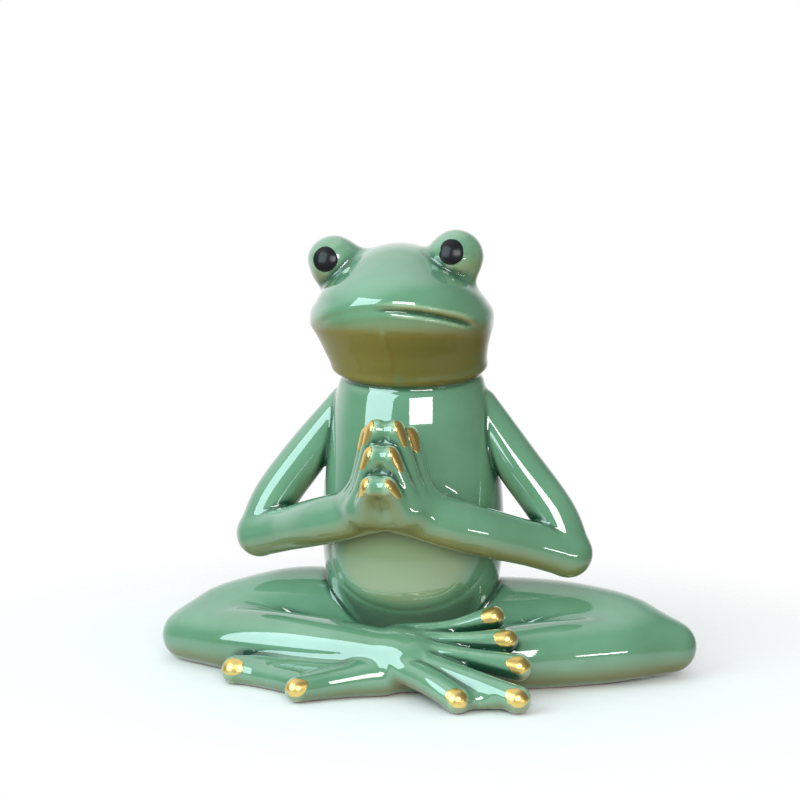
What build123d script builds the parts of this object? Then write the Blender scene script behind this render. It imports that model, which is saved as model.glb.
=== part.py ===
"""Seated frog figurine in glazed ceramic: slip-cast pieces that are luted together, with gilded tips.

Millimetres, +Z up, the frog faces -Y. The origin is on the ground under the neck.
The frog's right side is -X and its left side is +X.
"""

import os
from math import acos, cos, radians, sin

from build123d import *

# Clay and decoration
WALL = 4.0  # thickness of the hollow castings
GILDING = 0.3  # build-up of the gold lustre on a finger or toe tip
ENAMEL = 0.4  # build-up of the black enamel on an eye
DRAIN_DIAMETER = 9.0  # hole in the seat where the casting slip is poured out
DRAIN_SET_BACK = 9.0  # from the neck axis to the drain hole
VENT_DIAMETER = 4.0  # air way between the body's hollow and a thigh's hollow

# Torso: half widths, half depths and heights of its rings
SEAT_WIDTH, SEAT_DEPTH, SEAT_BACK = 16.0, 12.0, 8.0
HIP_WIDTH, HIP_DEPTH, HIP_HEIGHT, HIP_RING_BACK = 19.0, 16.0, 12.0, 4.0
PAUNCH_WIDTH, PAUNCH_DEPTH, PAUNCH_HEIGHT = 24.4, 22.3, 24.0
BELLY_WIDTH, BELLY_DEPTH, BELLY_HEIGHT = 26.0, 23.2, 36.0
WAIST_WIDTH, WAIST_DEPTH, WAIST_HEIGHT = 25.6, 22.0, 50.0
NECK_WIDTH, NECK_DEPTH, NECK_HEIGHT, NECK_FORWARD = 20.4, 17.5, 82.0, 1.5
CHEST_WIDTH, CHEST_DEPTH, CHEST_DROP = 23.4, 19.8, 16.0  # the chest's ring hangs below the neck joint

# Head: a tall egg for the skull and a broad flat one for the muzzle, on the throat, nose up
SKULL_WIDTH, SKULL_LENGTH, SKULL_RISE = 18.0, 22.8, 16.4
SKULL_SET_BACK = 3.0
MUZZLE_WIDTH, MUZZLE_LENGTH, MUZZLE_RISE = 24.6, 26.2, 13.5
MUZZLE_SIDE, MUZZLE_FORWARD, MUZZLE_DROP = 0.9, 1.0, 4.0  # the muzzle's middle from the head's middle
HEAD_HEIGHT = 22.5  # from the neck joint to the head's middle
HEAD_FORWARD = 8.0
NOSE_UP = 12.0  # degrees
HEAD_LEAN = 1.0  # degrees, towards the frog's right
HEAD_SIDE = -2.0  # the head's middle from the neck axis
THROAT_WIDTH, THROAT_DEPTH, THROAT_HEIGHT, THROAT_FORWARD = 22.9, 21.4, 9.0, 5.0
LIP_OVERHANG = 0.6  # how far the upper lip stands out before the jaw

# Eyes
HOOD_RADIUS = 7.4
EYE_SPACING = 34.0  # between the two eyes' middles
EYE_RISE = {"right": 9.9, "left": 11.2}  # above the head's middle
EYE_FORWARD = 5.3  # before the head's middle
EYEBALL_RADIUS = 6.2
EYEBALL_PROUD = 1.9  # how far the ball's middle lies before the hood's middle
EYEBALL_SEAT = 1.5  # how far the ball goes on behind its middle, down to the flat it is luted by
PUPIL_RADIUS = 3.4
GAZE_OUT = {"right": 7.0, "left": -1.0}  # degrees
GAZE_UP = {"right": 0.0, "left": 4.0}  # degrees

# Arms: shoulder, elbow and wrist
SHOULDER_SIDE = 19.5
SHOULDER_CLEARANCE = 1.1  # from the top of the shoulder up to the neck joint
ELBOW_SIDE = {"right": 43.0, "left": 45.2}
ELBOW_HEIGHT = {"right": 37.6, "left": 36.0}
ELBOW_FORWARD = 7.0
WRIST_SIDE, WRIST_FORWARD, WRIST_HEIGHT = 4.0, 31.5, 50.2
SHOULDER_RADIUS, UPPER_ARM_RADIUS = 5.4, 6.3
ELBOW_RADIUS, WRIST_RADIUS = 6.8, 7.6

# Hands: palm to palm on the plane x = 0
PALM_WIDTH, PALM_DEPTH, PALM_RISE = 4.8, 6.5, 9.5
PALM_SIDE, PALM_FORWARD, PALM_HEIGHT = 3.4, 31.5, 55.0
FINGER_ROOT_RADIUS, FINGER_TIP_RADIUS = 3.3, 3.0
FINGER_SIDE = (2.3, 2.3, 2.5, 5.0)  # little finger first
FINGER_FORWARD = (41.0, 37.5, 33.0, 28.5)
FINGER_HEIGHT = (58.5, 66.0, 72.2, 69.8)
FINGER_ROOT_SIDE = (6.4, 7.6, 8.4, 9.2)
FINGER_ROOT_FORWARD = (36.8, 34.2, 31.0, 27.8)
FINGER_ROOT_HEIGHT = 52.0

# Legs: hip, middle of the thigh, knee and ankle of each
HIP_SIDE, HIP_BACK, HIP_JOINT_HEIGHT = 13.0, 6.0, 13.0
RIGHT_THIGH_SIDE, RIGHT_THIGH_FORWARD, RIGHT_THIGH_HEIGHT = 33.0, -3.0, 13.0
RIGHT_KNEE_SIDE, RIGHT_KNEE_FORWARD, RIGHT_KNEE_HEIGHT = 64.6, 8.5, 7.2
RIGHT_ANKLE_SIDE, RIGHT_ANKLE_FORWARD, RIGHT_ANKLE_HEIGHT = 8.0, 31.0, 11.5
LEFT_THIGH_SIDE, LEFT_THIGH_FORWARD, LEFT_THIGH_HEIGHT = 33.0, -6.0, 12.6
LEFT_KNEE_SIDE, LEFT_KNEE_FORWARD, LEFT_KNEE_HEIGHT = 72.6, -4.0, 8.6
LEFT_ANKLE_SIDE, LEFT_ANKLE_FORWARD, LEFT_ANKLE_HEIGHT = 12.0, 24.0, 7.0
HIP_RADIUS, THIGH_RADIUS, OUTER_THIGH_RADIUS = 12.0, 13.0, 12.1
ABOVE_KNEE_RADIUS, KNEE_RADIUS, BELOW_KNEE_RADIUS = 10.5, 6.8, 9.2
SHIN_RADIUS, LOWER_SHIN_RADIUS, ANKLE_RADIUS = 9.1, 8.0, 5.0

# Feet: toe roots and toe tips
TOE_ROOT_RADIUS, TOE_TIP_RADIUS = 4.2, 3.4
INSTEP_RADIUS = 6.6
RIGHT_INSTEP = (13.0, -32.0, 10.0)
RIGHT_TOES = (
    (26.8, -20.0, 20.0),
    (31.5, -26.0, 15.5),
    (35.5, -30.5, 9.5),
    (37.0, -41.0, 3.8),
    (21.8, -44.5, 3.6),
)
LEFT_INSTEP = (-8.0, -32.0, 5.0)
LEFT_TOES = ((-43.0, -30.6, 3.8), (-21.5, -44.0, 3.6))

RIGHT, LEFT = -1, 1
SIDES = {"right": RIGHT, "left": LEFT}
GROUND_BLOCK = 400.0  # a block larger than the figure, below the ground


def line_plane(start, end):
    """The plane whose X axis runs from start to end, and the distance between them."""
    along = Vector(*end) - Vector(*start)
    across = along.cross(Vector(0, 0, 1))
    return Plane(origin=start, x_dir=along, z_dir=across), along.length


def cross_plane(start, end):
    """The plane at start that looks along the line to end."""
    plane, _ = line_plane(start, end)
    return Plane(origin=start, x_dir=plane.z_dir, z_dir=plane.x_dir)


def limb(start, end, radii):
    """A round limb from start to end: balls of the given radii, evenly spaced, joined by tangent cones."""
    plane, length = line_plane(start, end)
    step = length / (len(radii) - 1)
    leans = [(thick - thin) / step for thick, thin in zip(radii, radii[1:])]
    with BuildPart() as shape:
        with BuildSketch(plane):
            with BuildLine():
                here = (-radii[0], 0)
                for index, radius in enumerate(radii):
                    middle = index * step
                    before = leans[index - 1] if index else -1
                    after = leans[index] if index < len(leans) else 1
                    angles = [acos(before), acos(after)]
                    across = sum(angles) / 2
                    over = (middle + radius * cos(across), radius * sin(across))
                    far = (middle + radius * after, radius * sin(angles[1]))
                    near = (middle + radius * before, radius * sin(angles[0]))
                    if index:
                        Line(here, near)
                    ThreePointArc(near, over, far)
                    here = far
                Line(here, (-radii[0], 0))
            make_face()
        revolve(axis=Axis(plane.origin, plane.x_dir))
    return shape.part


def ellipse_loft(rings):
    """A loft through level ellipses, each given as height, half width, half depth and forward shift."""
    with BuildPart() as shape:
        for height, width, depth, forward in rings:
            with BuildSketch(Plane((0, -forward, height))):
                Ellipse(width, depth)
        loft()
    return shape.part


def egg(place, width, length, rise):
    """An ellipsoid at the place."""
    with BuildPart() as shape:
        Sphere(1)
        scale(by=(width, length, rise))
    return place * shape.part


def gilded_cap(tip, tip_radius, facing):
    """The gold on a finger or toe tip, before the digit itself is taken out of it."""
    with BuildPart() as cap:
        with Locations(tip):
            Sphere(tip_radius + GILDING)
        split(bisect_by=Plane(origin=tip, z_dir=facing), keep=Keep.TOP)
    return cap.part


def finish(builder, name):
    """Labels the piece and writes its file."""
    builder.part.label = name
    export_step(builder.part, f"parts/{name}.step")


os.makedirs("parts", exist_ok=True)

with BuildPart() as ground:
    with Locations((0, 0, -GROUND_BLOCK / 2)):
        Box(GROUND_BLOCK, GROUND_BLOCK, GROUND_BLOCK)

# Torso
torso_rings = (
    (0, SEAT_WIDTH, SEAT_DEPTH, -SEAT_BACK),
    (HIP_HEIGHT, HIP_WIDTH, HIP_DEPTH, -HIP_RING_BACK),
    (PAUNCH_HEIGHT, PAUNCH_WIDTH, PAUNCH_DEPTH, 0),
    (BELLY_HEIGHT, BELLY_WIDTH, BELLY_DEPTH, 0),
    (WAIST_HEIGHT, WAIST_WIDTH, WAIST_DEPTH, 0),
    (NECK_HEIGHT - CHEST_DROP, CHEST_WIDTH, CHEST_DEPTH, 0),
    (NECK_HEIGHT, NECK_WIDTH, NECK_DEPTH, NECK_FORWARD),
)

with BuildPart() as torso_form:
    add(ellipse_loft(torso_rings))

torso_hollow = ellipse_loft(
    [
        (max(height, WALL), width - WALL, depth - WALL, forward)
        for height, width, depth, forward in torso_rings
    ]
)

hip_joint = {name: (side * HIP_SIDE, HIP_BACK, HIP_JOINT_HEIGHT) for name, side in SIDES.items()}
thigh = {
    "right": (-RIGHT_THIGH_SIDE, -RIGHT_THIGH_FORWARD, RIGHT_THIGH_HEIGHT),
    "left": (LEFT_THIGH_SIDE, -LEFT_THIGH_FORWARD, LEFT_THIGH_HEIGHT),
}
knee = {
    "right": (-RIGHT_KNEE_SIDE, -RIGHT_KNEE_FORWARD, RIGHT_KNEE_HEIGHT),
    "left": (LEFT_KNEE_SIDE, -LEFT_KNEE_FORWARD, LEFT_KNEE_HEIGHT),
}
ankle = {
    "right": (RIGHT_ANKLE_SIDE, -RIGHT_ANKLE_FORWARD, RIGHT_ANKLE_HEIGHT),
    "left": (LEFT_ANKLE_SIDE, -LEFT_ANKLE_FORWARD, LEFT_ANKLE_HEIGHT),
}

with BuildPart() as vents:
    for name in SIDES:
        with BuildSketch(cross_plane(hip_joint[name], thigh[name])):
            Circle(VENT_DIAMETER / 2)
        extrude(amount=HIP_WIDTH)

with BuildPart() as torso_shell:
    add(torso_form.part)
    add(torso_hollow, mode=Mode.SUBTRACT)
    add(vents.part, mode=Mode.SUBTRACT)
    with Locations((0, DRAIN_SET_BACK, WALL / 2)):
        Cylinder(DRAIN_DIAMETER / 2, WALL, mode=Mode.SUBTRACT)
finish(torso_shell, "torso_shell")

# Legs: each a thigh and a shin folded back under it, hollow along the thigh


def thigh_form(name, less):
    """A thigh from hip to knee, made thinner all round by less."""
    with BuildPart() as shape:
        add(limb(hip_joint[name], thigh[name], (HIP_RADIUS - less, THIGH_RADIUS - less)))
        outer = (THIGH_RADIUS, OUTER_THIGH_RADIUS, ABOVE_KNEE_RADIUS, KNEE_RADIUS)
        add(limb(thigh[name], knee[name], [radius - less for radius in outer]))
    return shape.part


leg_form = {}
for name in SIDES:
    with BuildPart() as form:
        add(thigh_form(name, 0))
        shin = (KNEE_RADIUS, BELOW_KNEE_RADIUS, SHIN_RADIUS, LOWER_SHIN_RADIUS, ANKLE_RADIUS)
        add(limb(knee[name], ankle[name], shin))
        add(ground.part, mode=Mode.SUBTRACT)
    leg_form[name] = form.part

for name in SIDES:
    with BuildPart() as leg:
        add(leg_form[name])
        add(torso_form.part, mode=Mode.SUBTRACT)
        add(thigh_form(name, WALL), mode=Mode.SUBTRACT)
        if name == "left":
            add(leg_form["right"], mode=Mode.SUBTRACT)
    finish(leg, f"{name}_leg")

# Feet: the right one lies over the left shin, the left one comes out under the right shin
feet = {
    "right": (ankle["right"], RIGHT_INSTEP, RIGHT_TOES),
    "left": (ankle["left"], LEFT_INSTEP, LEFT_TOES),
}
placed_feet = []
for name, (heel, instep, toes) in feet.items():
    with BuildPart() as foot:
        add(limb(heel, instep, (INSTEP_RADIUS, INSTEP_RADIUS - 1)))
        for tip in toes:
            add(limb(instep, tip, (TOE_ROOT_RADIUS, TOE_TIP_RADIUS)))
        add(ground.part, mode=Mode.SUBTRACT)
        add(leg_form["right"], mode=Mode.SUBTRACT)
        add(leg_form["left"], mode=Mode.SUBTRACT)
        for other in placed_feet:
            add(other, mode=Mode.SUBTRACT)
    placed_feet.append(foot.part)
    finish(foot, f"{name}_foot")
    for number, tip in enumerate(toes, 1):
        with BuildPart() as gold:
            facing = (Vector(*tip) - Vector(*instep)).normalized() + Vector(0, -0.3, 0.9)
            add(gilded_cap(tip, TOE_TIP_RADIUS, facing))
            add(foot.part, mode=Mode.SUBTRACT)
            add(ground.part, mode=Mode.SUBTRACT)
        finish(gold, f"{name}_toe_gold_{number}")

# Head: skull, muzzle and eye hoods over the throat
head_place = Location((HEAD_SIDE, -HEAD_FORWARD, NECK_HEIGHT + HEAD_HEIGHT), (-NOSE_UP, -HEAD_LEAN, 0))
skull_place = head_place * Location((0, SKULL_SET_BACK, 0))
muzzle_place = head_place * Location((MUZZLE_SIDE, -MUZZLE_FORWARD, -MUZZLE_DROP))


def throat(less):
    """The throat from the neck joint up into the skull, made smaller all round by less."""
    with BuildPart() as shape:
        with BuildSketch(Plane((0, -NECK_FORWARD, NECK_HEIGHT))):
            Ellipse(NECK_WIDTH - less, NECK_DEPTH - less)
        middle = Location(
            (HEAD_SIDE / 2, -THROAT_FORWARD, NECK_HEIGHT + THROAT_HEIGHT), (-NOSE_UP / 2, -HEAD_LEAN / 2, 0)
        )
        with BuildSketch(Plane(middle)):
            Ellipse(THROAT_WIDTH - less, THROAT_DEPTH - less)
        with BuildSketch(Plane(muzzle_place)):
            Ellipse(MUZZLE_WIDTH - LIP_OVERHANG - less, MUZZLE_LENGTH - LIP_OVERHANG - less)
        loft()
    return shape.part


def gaze_plane(name):
    """The plane across an eye's line of sight, at the middle of its hood."""
    side = SIDES[name]
    out, up = radians(GAZE_OUT[name]), radians(GAZE_UP[name])
    sight = Vector(side * sin(out) * cos(up), -cos(out) * cos(up), sin(up))
    at = Vector(side * EYE_SPACING / 2, -EYE_FORWARD, EYE_RISE[name])
    across = Plane(origin=at, z_dir=sight)
    return Plane(head_place * across.location)


eyeballs = {}
pupils = {}
for name in SIDES:
    ball_plane = gaze_plane(name).offset(EYEBALL_PROUD)
    with BuildPart() as eyeball:
        Sphere(EYEBALL_RADIUS)
        split(bisect_by=Plane.XY.offset(-EYEBALL_SEAT), keep=Keep.TOP)
    with BuildPart() as pupil:
        with Locations((0, 0, EYEBALL_RADIUS)):
            Cylinder(PUPIL_RADIUS, EYEBALL_RADIUS)
        Sphere(EYEBALL_RADIUS + ENAMEL, mode=Mode.INTERSECT)
        Sphere(EYEBALL_RADIUS, mode=Mode.SUBTRACT)
    with BuildPart() as placed_eyeball:
        add(ball_plane * eyeball.part)
    with BuildPart() as placed_pupil:
        add(ball_plane * pupil.part)
    eyeballs[name] = placed_eyeball
    finish(placed_eyeball, f"{name}_eyeball")
    finish(placed_pupil, f"{name}_pupil")

with BuildPart() as head:
    add(egg(skull_place, SKULL_WIDTH, SKULL_LENGTH, SKULL_RISE))
    add(egg(muzzle_place, MUZZLE_WIDTH, MUZZLE_LENGTH, MUZZLE_RISE))
    add(throat(0))
    for name in SIDES:
        with Locations(gaze_plane(name).location):
            Sphere(HOOD_RADIUS)
    add(egg(skull_place, SKULL_WIDTH - WALL, SKULL_LENGTH - WALL, SKULL_RISE - WALL), mode=Mode.SUBTRACT)
    add(egg(muzzle_place, MUZZLE_WIDTH - WALL, MUZZLE_LENGTH - WALL, MUZZLE_RISE - WALL), mode=Mode.SUBTRACT)
    add(throat(WALL), mode=Mode.SUBTRACT)
    for eyeball in eyeballs.values():
        add(eyeball.part, mode=Mode.SUBTRACT)
finish(head, "head")

# Arms and hands: each stays on its own side of the plane where the palms meet
for name, side in SIDES.items():
    shoulder = (side * SHOULDER_SIDE, 0, NECK_HEIGHT - SHOULDER_CLEARANCE - SHOULDER_RADIUS)
    elbow = (side * ELBOW_SIDE[name], -ELBOW_FORWARD, ELBOW_HEIGHT[name])
    wrist = (side * WRIST_SIDE, -WRIST_FORWARD, WRIST_HEIGHT)
    with BuildPart() as other_side:
        with Locations((-side * GROUND_BLOCK / 2, 0, 0)):
            Box(GROUND_BLOCK, GROUND_BLOCK, GROUND_BLOCK)
    with BuildPart() as arm:
        add(
            limb(
                shoulder,
                elbow,
                (SHOULDER_RADIUS, UPPER_ARM_RADIUS, UPPER_ARM_RADIUS, ELBOW_RADIUS - 1),
            )
        )
        add(limb(elbow, wrist, (ELBOW_RADIUS, WRIST_RADIUS)))
        add(torso_form.part, mode=Mode.SUBTRACT)
        add(other_side.part, mode=Mode.SUBTRACT)
    finish(arm, f"{name}_arm")
    palm_place = Location((side * PALM_SIDE, -PALM_FORWARD, PALM_HEIGHT))
    tips = [
        (side * across, -forward, height)
        for across, forward, height in zip(FINGER_SIDE, FINGER_FORWARD, FINGER_HEIGHT)
    ]
    with BuildPart() as hand:
        add(egg(palm_place, PALM_WIDTH, PALM_DEPTH, PALM_RISE))
        for tip, across, forward in zip(tips, FINGER_ROOT_SIDE, FINGER_ROOT_FORWARD):
            root = (side * across, -forward, FINGER_ROOT_HEIGHT)
            add(limb(root, tip, (FINGER_ROOT_RADIUS, FINGER_TIP_RADIUS)))
        add(other_side.part, mode=Mode.SUBTRACT)
        add(arm.part, mode=Mode.SUBTRACT)
    finish(hand, f"{name}_hand")
    for number, tip in enumerate(tips, 1):
        with BuildPart() as gold:
            add(gilded_cap(tip, FINGER_TIP_RADIUS, Vector(side * 0.4, -0.8, 0.6)))
            add(hand.part, mode=Mode.SUBTRACT)
            add(other_side.part, mode=Mode.SUBTRACT)
        finish(gold, f"{name}_finger_gold_{number}")
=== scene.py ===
"""Glazed ceramic frog seated with its palms together: the visual model, its stage and its light.

The castings are shaped as distance fields in millimetres, in the same frame as the solid model,
and are turned into meshes that stand for the model's nodes.
"""

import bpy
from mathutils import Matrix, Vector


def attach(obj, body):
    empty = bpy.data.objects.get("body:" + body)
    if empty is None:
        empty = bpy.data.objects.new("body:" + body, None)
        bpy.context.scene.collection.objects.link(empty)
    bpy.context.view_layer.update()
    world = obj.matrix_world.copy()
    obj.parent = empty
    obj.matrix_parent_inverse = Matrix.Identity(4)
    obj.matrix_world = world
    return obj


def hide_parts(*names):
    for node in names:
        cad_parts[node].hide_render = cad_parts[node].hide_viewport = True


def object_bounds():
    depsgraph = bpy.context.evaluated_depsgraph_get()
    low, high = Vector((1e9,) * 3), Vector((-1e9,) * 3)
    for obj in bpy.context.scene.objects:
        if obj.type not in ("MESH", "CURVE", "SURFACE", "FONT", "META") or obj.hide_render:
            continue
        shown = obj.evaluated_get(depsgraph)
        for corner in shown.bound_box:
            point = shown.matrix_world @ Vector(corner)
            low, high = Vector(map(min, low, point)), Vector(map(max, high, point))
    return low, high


bl_info = {
    "name": "Glazed frog figurine",
    "version": (1, 0, 0),
    "blender": (4, 5, 0),
    "location": "View3D > Sidebar > Frog",
    "description": "Models a celadon-glazed frog with gilded finger and toe tips, and its studio stage",
    "category": "Object",
}

from math import cos, radians, sin

import bpy
import numpy as np
from bpy.props import FloatProperty, FloatVectorProperty, PointerProperty
from mathutils import Vector

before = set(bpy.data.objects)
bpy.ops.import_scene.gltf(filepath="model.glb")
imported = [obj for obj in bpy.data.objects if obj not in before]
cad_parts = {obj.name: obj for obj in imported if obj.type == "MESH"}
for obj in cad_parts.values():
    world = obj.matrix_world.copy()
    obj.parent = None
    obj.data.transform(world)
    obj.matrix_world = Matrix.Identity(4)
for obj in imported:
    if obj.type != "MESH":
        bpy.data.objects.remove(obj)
CAD_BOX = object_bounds()

MM = 0.001
RIGHT, LEFT = -1, 1  # the frog's own sides: its right is -X, its left is +X
SIDES = {"right": RIGHT, "left": LEFT}


# Distance fields


def length(p):
    return np.sqrt(np.einsum("ij,ij->i", p, p))


def round_cone(p, a, b, radius_a, radius_b):
    """Distance to two balls and the cone tangent to both."""
    a, b = np.asarray(a, float), np.asarray(b, float)
    axis = b - a
    span = axis @ axis
    drop = radius_a - radius_b
    slope = span - drop * drop
    from_a = p - a
    y = from_a @ axis
    z = y - span
    off = from_a * span - y[:, None] * axis
    x2 = np.einsum("ij,ij->i", off, off)
    y2 = y * y * span
    z2 = z * z * span
    k = np.sign(drop) * drop * drop * x2
    past_b = np.sign(z) * slope * z2 > k
    past_a = np.sign(y) * slope * y2 < k
    near_b = np.sqrt(x2 + z2) / span - radius_b
    near_a = np.sqrt(x2 + y2) / span - radius_a
    between = (np.sqrt(x2 * slope / span) + y * drop) / span - radius_a
    return np.where(past_b, near_b, np.where(past_a, near_a, between))


def soft_curve(balls):
    """Cubic pieces of a curve through balls, each given as x, y, z and radius."""
    balls = np.asarray(balls, float)
    ends = np.concatenate([[2 * balls[0] - balls[1]], balls, [2 * balls[-1] - balls[-2]]])
    a, b, c, d = ends[:-3], ends[1:-2], ends[2:-1], ends[3:]
    return np.stack((b, (c - a) / 2, a - 2.5 * b + 2 * c - d / 2, 1.5 * (b - c) + (d - a) / 2), 1)


def on_curve(pieces, t):
    """Balls on the curve, and how fast they change, at t pieces from its start."""
    which = np.minimum(t.astype(int), len(pieces) - 1)
    s = (t - which)[:, None]
    start, slope, bend, twist = np.moveaxis(pieces[which], 1, 0)
    ball = start + s * (slope + s * (bend + s * twist))
    return ball, slope + s * (2 * bend + 3 * s * twist)


def tube(p, pieces, reach=1.0, far=11.0, parts=4):
    """Distance to a limb that follows a curve of balls over the given share of its length."""
    last = reach * len(pieces)
    steps = np.linspace(0, last, parts * len(pieces) + 1)
    balls = on_curve(pieces, steps)[0]
    low = (balls[:, :3] - balls[:, 3:]).min(0)
    high = (balls[:, :3] + balls[:, 3:]).max(0)
    result = length(np.maximum(np.maximum(low - p, p - high), 0))
    near = result < far
    q = p[near]
    if not len(q):
        return result
    best = np.full(len(q), np.inf)
    t = np.zeros(len(q))
    for step, ball in zip(steps, balls):
        gap = length(q - ball[:3]) - ball[3]
        t = np.where(gap < best, step, t)
        best = np.minimum(best, gap)
    for _ in range(3):
        ball, speed = on_curve(pieces, t)
        off = q - ball[:, :3]
        axis, swell = speed[:, :3], speed[:, 3]
        span = np.einsum("ij,ij->i", axis, axis)
        along = np.einsum("ij,ij->i", off, axis) / span
        side = length(off - along[:, None] * axis)
        lean = np.clip(swell / np.sqrt(span), -0.9, 0.9)
        t = np.clip(t + along + lean * side / np.sqrt(span * (1 - lean * lean)), 0, last)
    ball = on_curve(pieces, t)[0]
    result[near] = length(q - ball[:, :3]) - ball[:, 3]
    return result


def ellipsoid(p, radii):
    radii = np.asarray(radii, float)
    outer = length(p / radii)
    inner = length(p / (radii * radii))
    return outer * (outer - 1) / np.maximum(inner, 1e-6)


def oval_stack(p, rings):
    """A body of level ovals: each ring is (height, half width, half depth, middle x, middle y)."""
    rings = np.asarray(rings, float)
    dense = np.linspace(rings[0, 0], rings[-1, 0], 160)
    soft = np.hanning(25)
    soft /= soft.sum()
    across = []
    for column in range(1, 5):
        line = np.interp(dense, rings[:, 0], rings[:, column])
        padded = np.concatenate([2 * line[0] - line[12:0:-1], line, 2 * line[-1] - line[-2:-14:-1]])
        smooth = np.convolve(padded, soft, "valid")
        across.append(np.interp(p[:, 2], dense, smooth))
    half_width, half_depth, middle_x, middle_y = across
    x = p[:, 0] - middle_x
    y = p[:, 1] - middle_y
    outer = np.hypot(x / half_width, y / half_depth)
    inner = np.hypot(x / half_width**2, y / half_depth**2)
    return outer * (outer - 1) / np.maximum(inner, 1e-6)


def smooth_union(a, b, blend):
    h = np.maximum(blend - np.abs(a - b), 0) / blend
    return np.minimum(a, b) - h * h * blend / 4


def smooth_common(a, b, blend):
    return -smooth_union(-a, -b, blend)


def ramp(value, low, high):
    t = np.clip((value - low) / (high - low), 0, 1)
    return t * t * (3 - 2 * t)


def bump(value, middle, width):
    return np.exp(-(((value - middle) / width) ** 2))


# The frog's forms, in millimetres

HEAD_MIDDLE = np.array((-2.0, -8.0, 104.5))
NOSE_UP = radians(12)
HEAD_LEAN = radians(1)
EYE_PLACE = {"right": (-17.3, -5.3, 9.9), "left": (16.7, -5.3, 11.2)}
HOOD_RADIUS = 7.2
EYEBALL_RADIUS = 6.4
EYEBALL_PROUD = 1.7
PUPIL_RADIUS = 3.7
GAZE = {"right": (radians(7), 0.0), "left": (radians(-1), radians(4))}  # outwards and up
MUZZLE_MIDDLE, MUZZLE_RADII = np.array((1.3, -1, -3.8)), (24.3, 26.2, 13.5)
CRANIUM_MIDDLE, CRANIUM_RADII = np.array((0, 3, 0)), (18.4, 22.8, 16.4)
SKULL_BLEND = 5.5
MOUTH_HEIGHT, MOUTH_MIDDLE = -6.0, 1  # in the head's own frame
MOUTH_DROOP_RIGHT, MOUTH_DROOP_LEFT = 0.0058, 0.0042  # how the mouth bends down to either side
MOUTH_GROOVE_WIDTH = 0.7
LIP_SWELL, LIP_RISE, LIP_WIDTH = 0.3, 1.8, 1.7
CHIN_SEAM = 0.4

TORSO_RINGS = (
    (-4, 15, 11, 0, 9),
    (0, 16, 12, 0, 8),
    (12, 19, 16, 0, 4),
    (24, 24.4, 22.3, 0, 0),
    (36, 26, 23.2, 0, 0),
    (50, 25.6, 22.5, 0, -0.1),
    (66, 23.4, 20.8, 0, -0.8),
    (75, 22.2, 19.2, 0, -1.2),
    (82, 20.4, 17.0, 0, -1.6),
    (92, 17.6, 13.6, 0, -2),
)
THROAT_RINGS = (
    (76, 19.4, 17.0, 0, -1),
    (82, 20.6, 18.0, 0, -1.5),
    (91, 22.8, 21.4, -1, -5),
    (99, 25.0, 25.4, -1.5, -8),
    (106, 25.0, 26.0, -1.5, -9),
)
NECK_HEIGHT = 82.5
NECK_RISE = 0.17  # the neck crease climbs from the front to the sides
NECK_RIM = 0.35
THROAT_OVERLAP = 1.5  # how far the throat goes down into the torso
THROAT_TOP = 103
BELLY_MIDDLE_X, BELLY_MIDDLE_Z = 1.5, 35
BELLY_HALF_WIDTH, BELLY_BELOW, BELLY_ABOVE = 19.5, 13.5, 20
BELLY_GROOVE = 0.25

ARMS = {  # shoulder to elbow, then elbow to wrist, each ball as x, y, z and radius
    "right": (
        ((-19, 0, 75, 5.2), (-30, -2.5, 60.5, 6.2), (-38.8, -5, 48, 6.4), (-43, -7, 37.6, 6.5)),
        ((-43, -7, 37.6, 6.6), (-33, -13, 40.5, 6.2), (-19, -23, 45.5, 6.6), (-2.5, -31, 51, 6.2)),
    ),
    "left": (
        ((19, 0, 75, 5.2), (29.5, -2.5, 60.5, 6.2), (40.5, -5, 46.5, 6.4), (45.2, -7, 36, 6.5)),
        ((45.2, -7, 36, 6.6), (35, -13, 39.5, 6.2), (20, -23, 45, 6.8), (2.5, -31, 51, 6.2)),
    ),
}
PALM_MIDDLE, PALM_RADII = np.array((3.2, -31, 57)), (4.4, 5.5, 9.5)  # the left hand's palm
HAND_CORE = ((0, -37.2, 57), (0, -31.5, 69.5), 3.7, 3.2)  # fills the gap between the palms
FINGERS = (  # the left hand's tips and roots, little finger first
    ((1.9, -41.0, 58.5, 3.0), (5.6, -34.8, 50.5, 2.6)),
    ((1.9, -37.5, 66.0, 3.0), (7.0, -34.0, 51.8, 3.0)),
    ((2.3, -33.2, 72.2, 3.0), (8.0, -31.0, 53.0, 3.0)),
    ((5.0, -28.5, 70.0, 2.9), (9.0, -27.8, 54.0, 3.0)),
)
LEGS = {  # hip to knee, then knee to ankle
    "right": (
        (
            (-13, 4, 13, 12.2),
            (-33, 3, 13, 13),
            (-51, -2.5, 11, 11.2),
            (-58.5, -6, 9.2, 9.2),
            (-64.6, -8.5, 7.2, 6.2),
        ),
        (
            (-64.6, -8.5, 7.2, 6.2),
            (-57, -12, 8, 8),
            (-42, -16.2, 8.4, 9.2),
            (-16, -24, 9.5, 8.2),
            (4, -30, 10.5, 6.2),
        ),
    ),
    "left": (
        (
            (13, 6, 13, 12),
            (33, 6, 12.6, 12.7),
            (47, 5.5, 12, 12.4),
            (60, 4.8, 10.9, 10.9),
            (72.6, 4, 8.6, 6.2),
        ),
        (
            (72.6, 4, 8.6, 6.2),
            (61, -3.4, 9.2, 8.7),
            (46, -10, 8.7, 9.3),
            (28, -17.8, 8, 8.5),
            (10, -26, 7, 5.6),
        ),
    ),
}
HEEL = {
    "right": ((3.0, -27.5, 11.0, 5.2), (8.0, -30.5, 11.0, 4.6)),
    "left": ((12.0, -25.0, 6.0, 6.0), (-6.0, -32.0, 5.2, 5.0)),
}
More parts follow.
